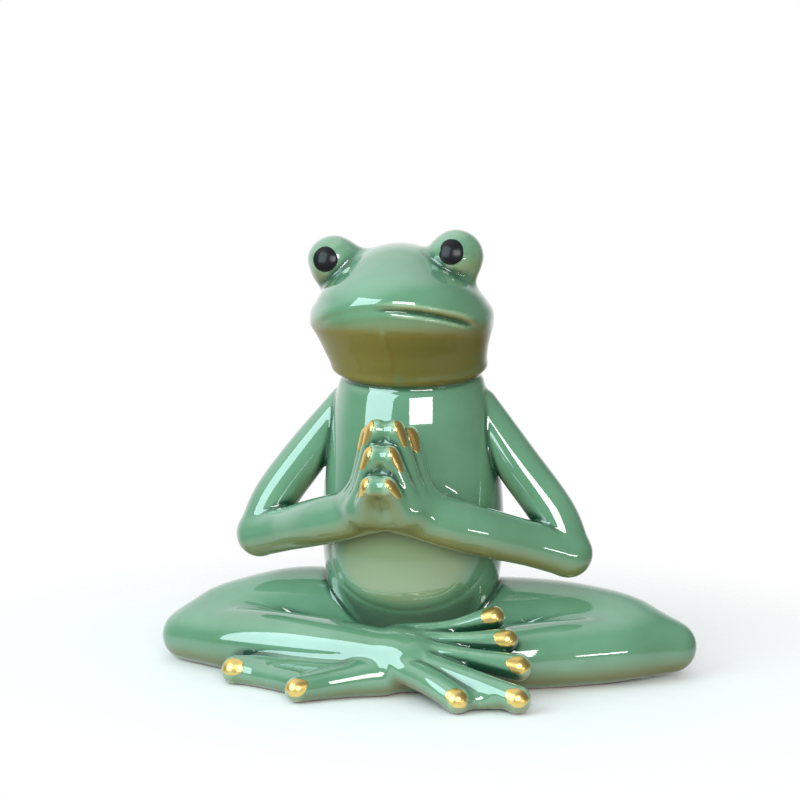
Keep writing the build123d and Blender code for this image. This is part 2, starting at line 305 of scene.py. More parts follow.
TOES = {  # root, middle and tip of each toe
    "right": (
        ((1.5, -23.5, 14.2, 3.4), (15.2, -22.0, 16.7, 2.4), (26.8, -20.0, 20.0, 3.2)),
        ((2.2, -26.0, 13.6, 3.4), (17.6, -27.0, 14.8, 2.3), (31.5, -26.0, 15.5, 3.2)),
        ((2.9, -28.8, 12.5, 3.6), (19.8, -31.0, 11.6, 2.7), (35.5, -30.5, 9.5, 3.7)),
        ((2.0, -30.5, 11.0, 3.8), (19.6, -36.6, 8.2, 3.1), (37.0, -41.0, 3.8, 3.7)),
        ((-8.0, -26.0, 9.8, 4.0), (11.2, -38.2, 7.2, 3.6), (21.8, -44.5, 3.6, 3.5)),
    ),
    "left": (
        ((-1.0, -33.0, 5.6, 5.0), (-27.0, -28.8, 4.4, 4.1), (-43.2, -30.2, 3.8, 4.0)),
        ((-4.0, -34.0, 5.4, 4.8), (-14.0, -39.0, 4.2, 3.9), (-21.5, -44.0, 3.6, 3.5)),
    ),
}
WEBS = {  # between each toe and the next: how far along both the skin reaches, its drop and half thickness
    "right": ((0.5, 0.5, 2.0, 2.0), (0.5, 0.5, 2.0, 2.0), (0.55, 0.5, 2.0, 2.1), (0.9, 0.92, 1.6, 2.1)),
    "left": ((0.95, 0.66, 0.5, 3.2),),
}
WEB_SPACING = 2.6
WEB_SAG = 0.12


def turn_x(angle):
    return np.array(((1, 0, 0), (0, cos(angle), -sin(angle)), (0, sin(angle), cos(angle))))


def turn_y(angle):
    return np.array(((cos(angle), 0, sin(angle)), (0, 1, 0), (-sin(angle), 0, cos(angle))))


HEAD_TURN = turn_x(-NOSE_UP) @ turn_y(-HEAD_LEAN)


def in_head(p):
    return (p - HEAD_MIDDLE) @ HEAD_TURN


def eye_sight(side):
    out, rise = GAZE[side]
    return np.array((SIDES[side] * sin(out) * cos(rise), -cos(out) * cos(rise), sin(rise)))


def eyeball_middle(side):
    """The middle of an eyeball in the head's own frame."""
    return np.asarray(EYE_PLACE[side]) + EYEBALL_PROUD * eye_sight(side)


def eyeball(p, side):
    return length(in_head(p) - eyeball_middle(side)) - EYEBALL_RADIUS


def neck_crease(p):
    """The height at which throat and torso meet."""
    return NECK_HEIGHT + NECK_RISE * np.minimum(p[:, 1] + 19, 20)


def head(p):
    """The head with its hoods, before the eyeballs are set in."""
    q = in_head(p)
    x, y, z = q.T
    muzzle = ellipsoid(q - MUZZLE_MIDDLE, MUZZLE_RADII)
    cranium = ellipsoid(q - CRANIUM_MIDDLE, CRANIUM_RADII)
    skull = smooth_union(muzzle, cranium, SKULL_BLEND)
    throat = smooth_common(oval_stack(p, THROAT_RINGS), neck_crease(p) - THROAT_OVERLAP - p[:, 2], 4)
    throat = smooth_common(throat, p[:, 2] - THROAT_TOP, 3)
    face = smooth_union(skull, throat, 2.5)
    front = ramp(-y, -2, 8)
    droop = np.where(x < MOUTH_MIDDLE, MOUTH_DROOP_RIGHT, MOUTH_DROOP_LEFT)
    mouth = MOUTH_HEIGHT - droop * (x - MOUTH_MIDDLE) ** 2
    face = face - front * LIP_SWELL * bump(z, mouth + LIP_RISE, LIP_WIDTH)
    deep = (0.1 + 1.05 * ramp(x, -4, 11)) * ramp(-np.abs(x - 2.5), -21.5, -17)
    face = face + front * deep * bump(z, mouth, MOUTH_GROOVE_WIDTH)
    seam = bump(p[:, 0], -0.8, 0.8) * ramp(p[:, 2], 86, 89) * ramp(-p[:, 2], -100, -97)
    seam = seam * ramp(-p[:, 1], 5, 10)
    face = face - CHIN_SEAM * seam - NECK_RIM * bump(p[:, 2] - neck_crease(p), 1.0, 1.3)
    for side in SIDES:
        hood = length(q - np.asarray(EYE_PLACE[side])) - HOOD_RADIUS
        above = ramp(z - EYE_PLACE[side][2], -3, 5)
        outer = ramp(SIDES[side] * (x - EYE_PLACE[side][0]), 1, 6)
        face = smooth_union(face, hood, 2.0 + 3.5 * np.maximum(above, 0.8 * outer))
    return face


def belly_panel(p):
    """How far out a point lies on the belly panel: 1 at its edge."""
    across = (p[:, 0] - BELLY_MIDDLE_X) / BELLY_HALF_WIDTH
    rise = p[:, 2] - BELLY_MIDDLE_Z
    above = rise / np.where(rise < 0, BELLY_BELOW, BELLY_ABOVE)
    return np.sqrt(across**2 + above**2)


def torso(p):
    """The torso up to the neck crease, with the shallow ring round the belly panel."""
    groove = BELLY_GROOVE * bump(belly_panel(p), 1.1, 0.05) * ramp(-p[:, 1], 6, 12)
    return smooth_common(oval_stack(p, TORSO_RINGS) + groove, p[:, 2] - neck_crease(p), 4)


def arm(p, side):
    upper, fore = (tube(p, curve) for curve in ARM_CURVES[side])
    return smooth_union(upper, fore, 0.9)


def hand(p, side):
    """A palm with its four fingers."""
    sign = SIDES[side]
    palm = ellipsoid(p - np.array((sign, 1, 1)) * PALM_MIDDLE, PALM_RADII)
    result = smooth_union(palm, round_cone(p, *HAND_CORE), 1.5)
    for (tx, ty, tz, tip), (rx, ry, rz, root) in FINGERS:
        finger = round_cone(p, (sign * rx, ry, rz), (sign * tx, ty, tz), root, tip)
        result = smooth_union(result, finger, 0.9)
    return result


def leg(p, side):
    """A thigh and its folded shin, which run into each other at the knee."""
    thigh, shin = (tube(p, curve) for curve in LEG_CURVES[side])
    hip, knee = LEGS[side][0][0][0], LEGS[side][0][-1][0]
    along = (p[:, 0] - hip) / (knee - hip)
    return smooth_union(thigh, shin, 2.2 + 2.3 * ramp(along, 0.3, 0.9))


def foot(p, side):
    """A heel, its toes and the skin between them."""
    (hx, hy, hz, heel), (ix, iy, iz, instep) = HEEL[side]
    sole = round_cone(p, (hx, hy, hz), (ix, iy, iz), heel, instep)
    fan = None
    for curve in TOE_CURVES[side]:
        toe = tube(p, curve)
        fan = toe if fan is None else smooth_union(fan, toe, 0.8)
    skin = None
    for curve, reach in WEB_CURVES[side]:
        sheet = tube(p, curve, reach)
        skin = sheet if skin is None else smooth_union(skin, sheet, 1.6)
    fan = smooth_union(fan, skin, 1.6)
    return smooth_union(sole, fan, 2.5)


def web_curves(side):
    """Low lines of skin between neighbouring toes, each with the share of the toe it reaches."""
    curves = []
    toes = np.array(TOES[side])
    for one, two, (reach, next_reach, drop, half) in zip(toes, toes[1:], WEBS[side]):
        wide = np.linalg.norm(one[-1, :3] - two[-1, :3])
        count = 1 + round(wide * max(reach, next_reach) / WEB_SPACING)
        for share in np.arange(1, count) / count:
            balls = one + share * (two - one)
            balls[:, 2] -= drop
            balls[:, 3] = half
            sag = WEB_SAG * share * (1 - share)
            curves.append((soft_curve(balls), reach + share * (next_reach - reach) - sag))
    return curves


ARM_CURVES = {side: [soft_curve(balls) for balls in ARMS[side]] for side in SIDES}
LEG_CURVES = {side: [soft_curve(balls) for balls in LEGS[side]] for side in SIDES}
TOE_CURVES = {side: [soft_curve(balls) for balls in TOES[side]] for side in SIDES}
WEB_CURVES = {side: web_curves(side) for side in SIDES}

PAIRED = {"arm": arm, "hand": hand, "leg": leg, "foot": foot, "eyeball": eyeball}
CASTINGS = ("torso_shell", "head", *(f"{side}_{kind}" for kind in PAIRED for side in SIDES))


def castings(p):
    """Each casting's own field, before the joints are luted and smoothed, in the order of CASTINGS."""
    return (torso(p), head(p), *(field(p, side) for field in PAIRED.values() for side in SIDES))


def frog(p):
    """The whole figure, luted, sponged and cut flat on the ground."""
    trunk, skull, arm_r, arm_l, hand_r, hand_l, leg_r, leg_l, foot_r, foot_l, eye_r, eye_l = castings(p)
    eyes = np.minimum(eye_r, eye_l)
    lid = ramp(in_head(p)[:, 2], 7, 12)
    skull = smooth_union(skull, eyes, 0.4 + 2 * lid)
    body = smooth_union(trunk, skull, 1.2)
    hands = smooth_union(hand_r, hand_l, 1.6)
    arms = smooth_union(smooth_union(arm_r, arm_l, 1.0), hands, 5.0)
    body = smooth_union(body, arms, 0.9)
    upper = smooth_union(leg_r, foot_r, 3.5)
    legs = smooth_union(smooth_union(leg_l, upper, 1.1), foot_l, 1.6)
    body = smooth_union(body, legs, 1.2)
    return smooth_common(body, -p[:, 2], 0.8)


# From fields to meshes

CHUNK = 120000  # points worked out at a time
HALF_DIAGONAL = 0.87  # of a cube of side 1
FIELD_SLACK, FIELD_MARGIN = 1.25, 0.4  # for fields that are not quite distances
CASTING_MARGIN = 4  # around the solid model's box
CASTING_SOFTNESS = 0.5  # reach of the normals on the castings
PROJECTION_REACH = 0.15
LEAST_SLOPE = 0.05
TINY = 1e-9


def in_chunks(field, p, size=CHUNK):
    """The field's values at many points, a chunk at a time."""
    return np.concatenate([field(p[start : start + size]) for start in range(0, len(p), size)])


def sample_block_wise(field, axes, step, block=8):
    """Field values on the grid, worked out only in blocks that the surface may cross."""
    shape = tuple(len(axis) for axis in axes)
    starts = [np.arange(0, count, block) for count in shape]
    corner = np.stack(np.meshgrid(*starts, indexing="ij"), -1).reshape(-1, 3)
    low = np.array([axis[0] for axis in axes])
    middle = low + (corner + (block - 1) / 2) * step
    reach = block * step * HALF_DIAGONAL * FIELD_SLACK + FIELD_MARGIN
    coarse = in_chunks(field, middle)
    values = np.empty(shape, np.float32)
    for (i, j, k), value in zip(corner, coarse):
        values[i : i + block, j : j + block, k : k + block] = value
    near = corner[np.abs(coarse) < reach]
    inner = np.stack(np.meshgrid(*[np.arange(block)] * 3, indexing="ij"), -1).reshape(-1, 3)
    cells = (near[:, None, :] + inner[None]).reshape(-1, 3)
    cells = cells[(cells < np.array(shape)).all(1)]
    values[tuple(cells.T)] = in_chunks(field, low + cells * step)
    return values


def gradient(field, p, reach):
    result = np.empty_like(p)
    for column in range(3):
        shift = np.zeros(3)
        shift[column] = reach
        result[:, column] = (in_chunks(field, p + shift) - in_chunks(field, p - shift)) / (2 * reach)
    return result


def surface(field, low, high, step, soft=0.2):
    """Vertices, outward normals and quads of the field's zero surface inside the box."""
    axes = [np.arange(start, stop + step, step) for start, stop in zip(low, high)]
    values = sample_block_wise(field, axes, step)
    inside = values < 0
    cells = tuple(np.array(values.shape) - 1)
    corners = [(i, j, k) for i in (0, 1) for j in (0, 1) for k in (0, 1)]

    def at(grid, corner):
        return grid[tuple(slice(c, c + n) for c, n in zip(corner, cells))]

    count = sum(at(inside, corner).astype(np.int8) for corner in corners)
    active = (count > 0) & (count < 8)
    where = np.argwhere(active)
    number = np.full(cells, -1, np.int64)
    number[active] = np.arange(len(where))
    total = np.zeros((len(where), 3))
    hits = np.zeros(len(where))
    for a in corners:
        for b in corners:
            if sum(b) - sum(a) != 1 or any(m > n for m, n in zip(a, b)):
                continue
            va, vb = at(values, a)[active], at(values, b)[active]
            crossed = (va < 0) != (vb < 0)
            t = np.where(crossed, va / np.where(crossed, va - vb, 1), 0)
            spot = np.array(a) + t[:, None] * (np.array(b) - np.array(a))
            total += spot * crossed[:, None]
            hits += crossed
    verts = np.array([axis[0] for axis in axes]) + step * (where + total / hits[:, None])
    quads = []
    for axis in range(3):
        one, two = (axis + 1) % 3, (axis + 2) % 3
        ahead = np.moveaxis(inside, (axis, one, two), (0, 1, 2))
        ids = np.moveaxis(number, (axis, one, two), (0, 1, 2))
        first, second = ahead[:-1, 1:-1, 1:-1], ahead[1:, 1:-1, 1:-1]
        for outward in (True, False):
            crossing = (first & ~second) if outward else (~first & second)
            i, j, k = np.nonzero(crossing)
            ring = [ids[i, j, k], ids[i, j + 1, k], ids[i, j + 1, k + 1], ids[i, j, k + 1]]
            quads.append(np.stack(ring if outward else ring[::-1], 1))
    quads = np.concatenate(quads)
    for _ in range(2):
        slope = gradient(field, verts, PROJECTION_REACH)
        value = in_chunks(field, verts)
        move = (value / np.maximum((slope * slope).sum(1), LEAST_SLOPE))[:, None] * slope
        size = length(move)
        verts -= move * np.minimum(1, 0.5 * step / np.maximum(size, TINY))[:, None]
    normals = gradient(field, verts, soft)
    normals /= np.maximum(length(normals), TINY)[:, None]
    return verts, normals, quads


def add_mesh(name, verts, quads, normals=None, marks=None):
    """An object from vertices in millimetres, with smooth shading and point attributes."""
    used, quads = np.unique(quads, return_inverse=True)
    quads = quads.reshape(-1, 4)
    mesh = bpy.data.meshes.new(name)
    mesh.from_pydata((verts[used] * MM).tolist(), [], quads.tolist())
    mesh.polygons.foreach_set("use_smooth", np.ones(len(quads), bool))
    for mark, values in (marks or {}).items():
        layer = mesh.attributes.new(mark, "FLOAT", "POINT")
        layer.data.foreach_set("value", values[used].astype(np.float32))
    if normals is not None:
        mesh.normals_split_custom_set_from_vertices(normals[used].tolist())
    mesh.update()
    piece = bpy.data.objects.new(name, mesh)
    bpy.context.scene.collection.objects.link(piece)
    return piece


def dress(piece, node, material):
    """Gives a piece its material and its place in the frame."""
    piece.data.materials.append(material)
    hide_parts(node)
    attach(piece, "root")


# Glaze, enamel and lustre

GLAZE_IOR = 1.6


class Nodes:
    """Shorthand for a material's node tree."""

    def __init__(self, material):
        material.use_nodes = True
        self.tree = material.node_tree
        self.shader = self.tree.nodes["Principled BSDF"]

    def add(self, kind, **values):
        node = self.tree.nodes.new(kind)
        for key, value in values.items():
            setattr(node, key, value)
        return node

    def link(self, out, into):
        self.tree.links.new(out, into)

    def mark(self, name):
        return self.add("ShaderNodeAttribute", attribute_name=name).outputs["Fac"]

    def noise(self, scale, detail):
        place = self.add("ShaderNodeTexCoord").outputs["Object"]
        node = self.add("ShaderNodeTexNoise")
        node.inputs["Scale"].default_value = scale
        node.inputs["Detail"].default_value = detail
        self.link(place, node.inputs["Vector"])
        return node.outputs["Fac"]

    def remap(self, value, low, high, to_low=0.0, to_high=1.0):
        node = self.add("ShaderNodeMapRange")
        for key, number in zip(("From Min", "From Max", "To Min", "To Max"), (low, high, to_low, to_high)):
            node.inputs[key].default_value = number
        self.link(value, node.inputs["Value"])
        return node.outputs["Result"]

    def math(self, operation, a, b):
        node = self.add("ShaderNodeMath", operation=operation)
        for socket, value in zip(node.inputs, (a, b)):
            if isinstance(value, (int, float)):
                socket.default_value = value
            else:
                self.link(value, socket)
        return node.outputs[0]

    def times(self, a, b):
        return self.math("MULTIPLY", a, b)

    def mix(self, share, a, b):
        node = self.add("ShaderNodeMix", data_type="RGBA")
        self.link(share, node.inputs["Factor"])
        for socket, value in zip((node.inputs[6], node.inputs[7]), (a, b)):
            if hasattr(value, "is_output"):
                self.link(value, socket)
            else:
                socket.default_value = (*value, 1)
        return node.outputs[2]

    def bump(self, height, strength, distance):
        node = self.add("ShaderNodeBump")
        node.inputs["Strength"].default_value = strength
        node.inputs["Distance"].default_value = distance
        self.link(height, node.inputs["Height"])
        self.link(node.outputs["Normal"], self.shader.inputs["Normal"])


def glaze_material(settings):
    material = bpy.data.materials.new("celadon_glaze")
    nodes = Nodes(material)
    cloud = nodes.noise(scale=55, detail=3)
    mottle = nodes.noise(scale=420, detail=4)
    tone = nodes.mix(nodes.remap(cloud, 0.3, 0.7), settings.glaze, settings.glaze_thin)
    # Thinner glaze on ridges, and on the tops of the eye hoods a painted sheen.
    ridge_and_sheen = nodes.math("ADD", nodes.mark("ridge_and_sheen"), nodes.remap(mottle, 0.3, 0.7, -0.12, 0.12))
    tone = nodes.mix(nodes.remap(ridge_and_sheen, 0.15, 0.9), tone, settings.glaze_edge_and_eye_sheen)
    # Painted reflection: the belly panel is paler.
    tone = nodes.mix(nodes.times(nodes.mark("belly"), 0.85), tone, settings.belly_reflection_tone)
    # Painted reflection of warm ground on the undersides and the throat.
    tone = nodes.mix(nodes.times(nodes.mark("warm"), 0.9), tone, settings.warm_reflection_tone)
    # Darker green where glaze gathers in creases, with painted shade in creases and between parts.
    tone = nodes.mix(nodes.mark("pooled_glaze_and_shade"), tone, settings.glaze_pooled_and_shaded)
    tone = nodes.mix(nodes.mark("clay"), tone, settings.bare_clay)
    nodes.link(tone, nodes.shader.inputs["Base Color"])
    nodes.link(nodes.remap(mottle, 0.2, 0.8, 0.03, 0.07), nodes.shader.inputs["Roughness"])
    # Where the warm reflection is painted, the glaze mirrors less.
    warm = nodes.mark("warm")
    nodes.link(nodes.remap(warm, 0, 1, 0.5, 0.06), nodes.shader.inputs["Specular IOR Level"])
    nodes.link(nodes.remap(warm, 0, 1, 1.0, 0.05), nodes.shader.inputs["Coat Weight"])
    nodes.shader.inputs["Coat IOR"].default_value = GLAZE_IOR
    nodes.shader.inputs["Coat Roughness"].default_value = 0.02
    nodes.shader.inputs["IOR"].default_value = GLAZE_IOR
    nodes.bump(nodes.noise(scale=140, detail=2), strength=0.03, distance=0.0004)
    return material


def enamel_material(settings):
    material = bpy.data.materials.new("black_enamel")
    nodes = Nodes(material)
    worn = [value * 1.8 for value in settings.enamel]
    tone = nodes.mix(nodes.noise(scale=900, detail=2), settings.enamel, worn)
    nodes.link(tone, nodes.shader.inputs["Base Color"])
    nodes.shader.inputs["Roughness"].default_value = 0.24
    nodes.shader.inputs["Specular IOR Level"].default_value = 0.28
    nodes.bump(nodes.noise(scale=500, detail=2), strength=0.04, distance=0.0003)
    return material


def lustre_material(settings):
    material = bpy.data.materials.new("gold_lustre")
    nodes = Nodes(material)
    wear = nodes.noise(scale=700, detail=5)
    tone = nodes.mix(nodes.remap(wear, 0.35, 0.7), settings.gold, settings.gold_thin)
    tone = nodes.mix(nodes.times(nodes.mark("rim"), 0.9), tone, settings.gold_rim)
    nodes.link(tone, nodes.shader.inputs["Base Color"])
    nodes.link(nodes.remap(wear, 0.3, 0.7, 0.12, 0.26), nodes.shader.inputs["Roughness"])
    nodes.shader.inputs["Metallic"].default_value = 1.0
    nodes.bump(nodes.noise(scale=1100, detail=4), strength=0.25, distance=0.0003)
    return material


# Settings


def colour(label, value, words):
    return FloatVectorProperty(
        name=label, description=words, default=value, size=3, min=0, max=1, subtype="COLOR"
    )


def amount(label, value, words, **limits):
    return FloatProperty(name=label, description=words, default=value, **limits)


class FrogFinish(bpy.types.PropertyGroup):
    """Colours of the glaze, the enamel and the gold."""

    glaze: colour("Glaze", (0.110, 0.265, 0.155), "The celadon at its usual thickness")
    glaze_thin: colour("Thin glaze", (0.150, 0.330, 0.210), "Where the celadon ran a little thinner")
    # Pale green where the glaze runs thin on ridges; on the tops of the eyes it is a painted sheen.
    glaze_edge_and_eye_sheen: colour("Glaze on ridges", (0.32, 0.50, 0.34), "The pale green on lips, knuckles and ridges")
    # A painted reflection that makes the belly panel paler.
    belly_reflection_tone: colour("Glaze on the belly", (0.25, 0.335, 0.185), "The pale olive of the round belly")
    # Dark green of glaze gathered in creases, together with painted shade in creases and between parts.
    glaze_pooled_and_shaded: colour("Pooled glaze", (0.012, 0.06, 0.03), "The dark green where glaze gathers in a crease")
    # A painted warm reflection of the ground on the throat and the undersides.
    warm_reflection_tone: colour("Warm glaze", (0.23, 0.185, 0.035), "The olive of the throat and the undersides")
    bare_clay: colour("Bare clay", (0.42, 0.20, 0.07), "The unglazed rim that the figure stands on")
    enamel: colour("Enamel", (0.008, 0.008, 0.010), "The black of the eyes")
    gold: colour("Gold", (0.45, 0.25, 0.01), "The lustre on the finger and toe tips")
    gold_thin: colour("Thin gold", (0.30, 0.165, 0.01), "Where the brush left less gold")
    gold_rim: colour("Gold at the rim", (0.09, 0.05, 0.005), "Where the brush stroke ends")


class FrogShape(bpy.types.PropertyGroup):
    """Fineness of the meshes and thickness of the decoration."""

    casting_step: amount("Casting fineness", 0.55, "Mesh size on the castings, in mm", min=0.3, max=2)
    detail_step: amount("Detail fineness", 0.25, "Mesh size on eyes and gold, in mm", min=0.15, max=1)
    gilding: amount("Gilding", 0.12, "How far the gold stands off the glaze, in mm", min=0.02, max=0.5)


class FrogStage(bpy.types.PropertyGroup):
    """Camera, floor and light."""

    azimuth: amount("Azimuth", radians(13), "Camera's turn from the front to the left", subtype="ANGLE")
    elevation: amount("Elevation", radians(7.5), "Camera's height above the horizon", subtype="ANGLE")
    distance: amount("Distance", 0.54, "From the aim to the camera", min=0.2, max=3, unit="LENGTH")
    aim: FloatVectorProperty(
        name="Aim",
        description="The point that the camera looks at",
        default=(-0.0058, 0.0088, 0.0748),
        subtype="XYZ",
    )
    floor_tone: colour("Floor", (0.95, 0.95, 0.94), "The pale paper that the frog stands on")
    floor_bounce: colour("Floor bounce", (0.50, 0.36, 0.20), "The warm light that the ground throws back up")
    key_power: amount("Key light", 4.0, "Power of the soft box", min=0)
    sky_strength: amount("Top light", 1.0, "Strength of the light overhead", min=0)
    room_strength: amount("Room", 0.1, "How bright the glaze mirrors the room before the frog", min=0, max=1)
    window_power: amount("Window light", 5.4, "Power of the cool window light", min=0)
    strip_power: amount("Side strip", 0.045, "Power of the narrow strip light", min=0)


# Operators


class FROG_OT_castings(bpy.types.Operator):
    """Models the glazed castings: torso, head, arms, hands, legs, feet and eyeballs"""

    bl_idname = "frog.castings"
    bl_label = "Castings"

    def execute(self, context):
        scene = context.scene
        step = scene.frog_shape.casting_step
        low, high = (np.array(corner) / MM for corner in CAD_BOX)
        box = (low - CASTING_MARGIN, high + CASTING_MARGIN)
        verts, normals, quads = surface(frog, *box, step, CASTING_SOFTNESS)
        marks = glaze_marks(verts, normals)
        owner = in_chunks(lambda p: np.argmin(np.stack(castings(p)), 0), verts[quads].mean(1))
        material = glaze_material(scene.frog_finish)
        for index, name in enumerate(CASTINGS):
            own = quads[owner == index]
            if not len(own):
                raise RuntimeError(f"{name} has no surface")
            piece = add_mesh(f"glazed_{name}", verts, own, normals, marks)
            dress(piece, name, material)
        return {"FINISHED"}


# The room around each point, looked for out to 7 mm, sets the painted shade in creases and between parts.
CREASE_REACHES = ((1.2, 0.45), (3.0, 0.35), (7.0, 0.2))  # how far out it is looked for room, and its share
CURVE_REACH = 1.3


def glaze_marks(verts, normals):
    """How the glaze lies, with painted light: pooled in creases with painted shade in creases and between
    parts, thin on ridges with a painted sheen on the eye tops, a painted warm reflection underneath and on
    the throat, a painted reflection on the belly panel, bare at the foot rim.
    """
    crowd = np.zeros(len(verts))
    for reach, share in CREASE_REACHES:
        open_way = in_chunks(frog, verts + normals * reach) / reach
        crowd += share * np.clip(1 - open_way, 0, 1)
    wide = np.zeros(len(verts))
    for column in range(3):
        shift = np.zeros(3)
        shift[column] = CURVE_REACH
        wide += in_chunks(frog, verts + shift) + in_chunks(frog, verts - shift)
    curve = wide / CURVE_REACH**2
    # Downward-facing glaze gets the painted warm reflection.
    down = ramp(-normals[:, 2], 0.05, 0.75)
    x, y, z = verts.T
    throat = ramp(z, 81, 84) * ramp(-z, -101, -93) * ramp(-y, -12, 2)
    on_torso = ramp(-np.abs(in_chunks(torso, verts)), -1.0, -0.3)
    left_half = ramp(x, -12, 14)
    # On the throat the painted warm reflection is weaker on the left half and along the middle.
    green_run = 0.3 * bump(x, 0.6, 1.6) + 0.35 * bump(x, 3, 9) * ramp(-z, -91, -85)
    brown = 0.86 - 0.22 * left_half - green_run
    warm = np.clip(0.75 * down + brown * throat, 0, 1) * ramp(z, 0.5, 3) * (1 - 0.85 * on_torso)
    q = in_head(verts)
    bulge = np.minimum(*(length(q - np.asarray(EYE_PLACE[side])) for side in SIDES)) - HOOD_RADIUS
    foot_gap = np.minimum(*(in_chunks(lambda p: foot(p, side), verts) for side in SIDES))
    on_foot = ramp(-np.abs(foot_gap), -1.5, -0.5)
    # Painted shade where little room is open around a point, strongest on the feet, together with pooled
    # glaze in concave creases.
    weight = 1 + 0.6 * on_foot - 0.35 * on_torso
    pooled_glaze_and_shade = np.maximum(ramp(crowd * weight, 0.2, 0.75), 0.8 * ramp(-curve, 0.12, 0.7))
    # A painted reflection on the belly panel, fading towards its edge.
    belly = ramp(-belly_panel(verts), -1.05, -0.75) * ramp(-y, 8, 14) * ramp(-z, -46, -42)
    return {
        # The left half of the throat gets painted shade as well.
        "pooled_glaze_and_shade": np.maximum(pooled_glaze_and_shade, 0.35 * throat * left_half),
        # Thin glaze on convex ridges, plus a painted sheen on the tops of the eye hoods.
        "ridge_and_sheen": np.maximum(ramp(curve, 0.2, 0.8), 0.5 * ramp(-bulge, -2, 0) * ramp(q[:, 2], 2, 8)),
        "warm": warm,
        "belly": belly,
        "clay": ramp(-z, -0.7, -0.25),
    }


PUPIL_HALF_THICKNESS = 0.3
PUPIL_REACH = 5.5  # half the box that a pupil is looked for in
TOE_GOLD = (3.5, 2.5, 2.7)  # half sizes of the painted ovals, first along the toe or finger
FINGER_GOLD = (4.3, 1.4, 2.0)
GOLD_DEPTH = 0.45  # how far the gold goes down into the glaze


class FROG_OT_pupils(bpy.types.Operator):
    """Sets a raised dot of black enamel on each eyeball"""

    bl_idname = "frog.pupils"
    bl_label = "Pupils"

    def execute(self, context):
        scene = context.scene
        material = enamel_material(scene.frog_finish)
        for side in SIDES:
            middle = eyeball_middle(side)
            sight = eye_sight(side)

            def dot(p):
                q = in_head(p) - middle
                along = q @ sight
                off = length(q - along[:, None] * sight)
                shell = np.abs(length(q) - EYEBALL_RADIUS) - PUPIL_HALF_THICKNESS
                disc = np.maximum(off - PUPIL_RADIUS, -along)
                return smooth_common(shell, disc, 0.5)

            at = HEAD_MIDDLE + HEAD_TURN @ (middle + sight * EYEBALL_RADIUS * 0.8)
            box = (at - PUPIL_REACH, at + PUPIL_REACH)
            verts, normals, quads = surface(dot, *box, scene.frog_shape.detail_step)
            piece = add_mesh(f"enamel_{side}_pupil", verts, quads, normals)
            dress(piece, f"{side}_pupil", material)
        return {"FINISHED"}


def gild(context, name, node, middle, radii, along):
    """Lays gold over the glaze inside an oval around the middle, with a hand-painted edge."""
    shape = context.scene.frog_shape
    across = np.cross(along, (0.3, -0.9, 0.3))
    across /= np.linalg.norm(across)
    turn = np.stack((along, across, np.cross(along, across)), 1)

    def patch(p):
        q = (p - middle) @ turn
        sway = 0.16 * np.sin(q[:, 1] * 2.1 + middle[0])
        sway += 0.08 * np.sin(q[:, 0] * 2.9 + q[:, 1] * 2 + middle[2])
        return ellipsoid(q, radii) + sway

    def leaf(p):
        body = frog(p)
        skin = np.maximum(body - shape.gilding, -(body + GOLD_DEPTH))
        return smooth_common(skin, patch(p), 0.15)

    reach = max(radii) + 1
    verts, normals, quads = surface(leaf, middle - reach, middle + reach, shape.detail_step)
    rim = ramp(patch(verts), -1.3, -0.1)
    piece = add_mesh(name, verts, quads, normals, {"rim": rim})
    material = bpy.data.materials.get("gold_lustre") or lustre_material(context.scene.frog_finish)
    dress(piece, node, material)


class FROG_OT_toe_gold(bpy.types.Operator):
    """Gilds the toe tips"""

    bl_idname = "frog.toe_gold"
    bl_label = "Toe gold"

    def execute(self, context):
        for side in SIDES:
            for number, (_, knuckle, (tx, ty, tz, tip)) in enumerate(TOES[side], 1):
                end = np.array((tx, ty, tz))
                along = end - np.asarray(knuckle[:3])
                along /= np.linalg.norm(along)
                face = np.array((0.1, -0.85, 0.45)) + 0.3 * along
                middle = end + tip * face / np.linalg.norm(face) - 0.8 * along
                name, node = f"gold_{side}_toe_{number}", f"{side}_toe_gold_{number}"
                gild(context, name, node, middle, TOE_GOLD, along)
        return {"FINISHED"}


class FROG_OT_finger_gold(bpy.types.Operator):
    """Gilds the finger tips"""

    bl_idname = "frog.finger_gold"
    bl_label = "Finger gold"

    def execute(self, context):
        for side, sign in SIDES.items():
            for number, ((tx, ty, tz, tip), (rx, ry, rz, _)) in enumerate(FINGERS, 1):
                end = np.array((sign * tx, ty, tz))
                along = end - np.array((sign * rx, ry, rz))
                along /= np.linalg.norm(along)
                face = np.array((sign * 0.68, -0.68, 0.22))
                middle = end + tip * face / np.linalg.norm(face) - 0.6 * along
                name, node = f"gold_{side}_finger_{number}", f"{side}_finger_gold_{number}"
                gild(context, name, node, middle, FINGER_GOLD, along)
        return {"FINISHED"}


CHEST = Vector((0, 0, 0.06))
FLOOR_REACH = 3.0


def direction(azimuth, elevation):
    """The way out from the frog, by the turn from its front towards its left and the rise."""
    return Vector((sin(azimuth) * cos(elevation), -cos(azimuth) * cos(elevation), sin(elevation)))


def around(azimuth, elevation, distance):
    """A place around the frog's chest, in degrees and metres."""
    return CHEST + distance * direction(radians(azimuth), radians(elevation))


def soft_box(name, place, aim, size, power, tone):
    """A lamp with a flat front that faces the aim."""
    lamp = bpy.data.lights.new(name, "AREA")
    lamp.shape = "RECTANGLE"
    lamp.size, lamp.size_y = size
    lamp.energy = power
    lamp.color = tone
    piece = bpy.data.objects.new(name, lamp)
    piece.location = place
    piece.rotation_euler = (Vector(aim) - Vector(place)).to_track_quat("-Z", "Y").to_euler()
    bpy.context.scene.collection.objects.link(piece)


def greatest(tree, share, others):
    for other in others:
        either = tree.nodes.new("ShaderNodeMath")
        either.operation = "MAXIMUM"
        tree.links.new(share, either.inputs[0])
        tree.links.new(other, either.inputs[1])
        share = either.outputs[0]
    return share


